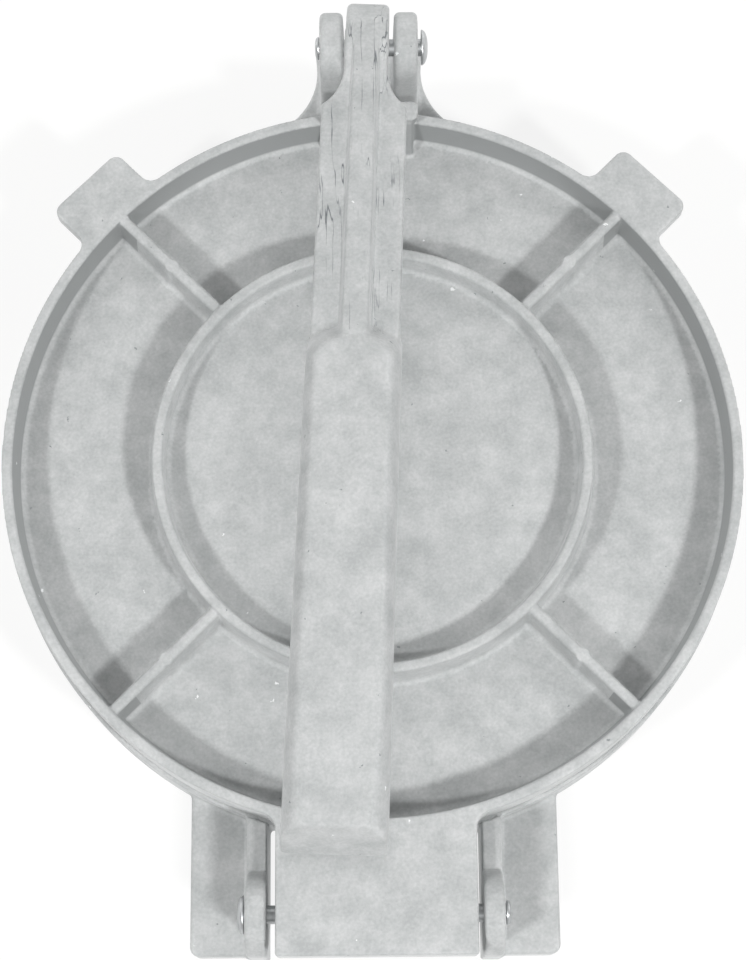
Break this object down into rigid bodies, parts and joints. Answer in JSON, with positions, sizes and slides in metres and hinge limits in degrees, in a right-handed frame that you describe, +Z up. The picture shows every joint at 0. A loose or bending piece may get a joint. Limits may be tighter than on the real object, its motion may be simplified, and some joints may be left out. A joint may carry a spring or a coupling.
{
  "type": "tortilla press",
  "caption": "Round cast press: a base and a hinged, ribbed top plate, shut by a long lever that bears on a boss at the plate's rim.",
  "frame": {"origin": "on the surface that the press stands on, in the middle of the whole press's footprint box", "axes": "+Z up, +Y from the plate hinge towards the lever's clevis, along the length of the press, +X to its right"},
  "size_m": [0.2016, 0.2608, 0.052],
  "materials": {
    "cast_aluminium": "as cast, tumbled, matt with fine pits",
    "rivet_steel": "plain steel, slightly dull"
  },
  "bodies": {
    "base": {"base": "cast_aluminium", "plate_hinge_rivet": "rivet_steel", "lever_rivet": "rivet_steel"},
    "top_plate": {"top_plate": "cast_aluminium"},
    "lever": {"lever": "cast_aluminium"}
  },
  "joints": [
    {"name": "lever_hinge", "type": "hinge", "parent": "base", "child": "lever", "pos_m": [0, 0.11807, 0.036], "axis": [-1, 0, 0], "range_deg": [0, 185]},
    {"name": "plate_hinge", "type": "hinge", "parent": "base", "child": "top_plate", "pos_m": [0, -0.11943, 0.0205], "axis": [1, 0, 0], "range_deg": [0, 180]}
  ],
  "couplings": [
    {"joint": "plate_hinge", "follows": "lever_hinge", "ratio": 0.09}
  ]
}
